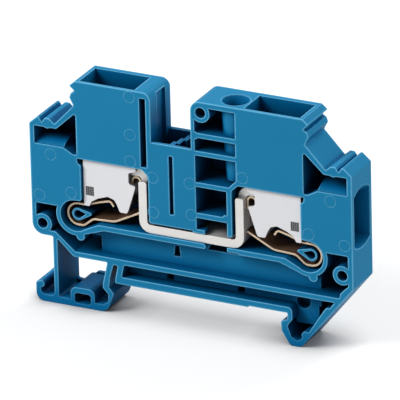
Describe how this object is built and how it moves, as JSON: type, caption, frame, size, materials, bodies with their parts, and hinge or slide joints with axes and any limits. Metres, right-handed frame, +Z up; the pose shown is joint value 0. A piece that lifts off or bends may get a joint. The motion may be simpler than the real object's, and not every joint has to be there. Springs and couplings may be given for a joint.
{
  "type": "feed-through terminal block",
  "caption": "Feed-through terminal block with side wire entries, a busbar, spring clamps, sprung pushers and an elastic mounting foot.",
  "frame": {"origin": "middle of the seat face that rests on the mounting flanges, halfway through the thickness", "axes": "+X along the block to the side with the hook, +Y from the open side to the closed back, +Z up to the towers"},
  "size_m": [0.0642, 0.0082, 0.0443],
  "materials": {
    "blue_plastic": "satin moulded polyamide",
    "grey_plastic": "satin moulded plastic",
    "tinned_copper": "bright tin plating",
    "spring_steel": "rolled stainless strip"
  },
  "bodies": {
    "block": {"housing": "blue_plastic", "busbar": "tinned_copper", "clamping_spring_left": "spring_steel", "clamping_spring_right": "spring_steel"},
    "left_lever": {"retaining_lever_left": "spring_steel"},
    "right_lever": {"retaining_lever_right": "spring_steel"},
    "left_pusher": {"pusher_left": "grey_plastic"},
    "right_pusher": {"pusher_right": "grey_plastic"}
  },
  "joints": [
    {"name": "pusher_left_press", "type": "slide", "parent": "block", "child": "left_pusher", "axis": [0, 0, -1], "range_m": [0, 0.002], "stiffness_N_per_m": 2000, "springref_m": -0.001, "deforming": ["clamping_spring_left"]},
    {"name": "pusher_right_press", "type": "slide", "parent": "block", "child": "right_pusher", "axis": [0, 0, -1], "range_m": [0, 0.002], "stiffness_N_per_m": 2000, "springref_m": -0.001, "deforming": ["clamping_spring_right"]},
    {"name": "retaining_lever_left_swing", "type": "hinge", "parent": "block", "child": "left_lever", "pos_m": [-0.0127, -0.00034, 0.02005], "axis": [0, 1, 0], "range_deg": [0, 8], "stiffness_Nm_per_rad": 0.001},
    {"name": "retaining_lever_right_swing", "type": "hinge", "parent": "block", "child": "right_lever", "pos_m": [0.0103, -0.00034, 0.02005], "axis": [0, -1, 0], "range_deg": [0, 8], "stiffness_Nm_per_rad": 0.001}
  ]
}
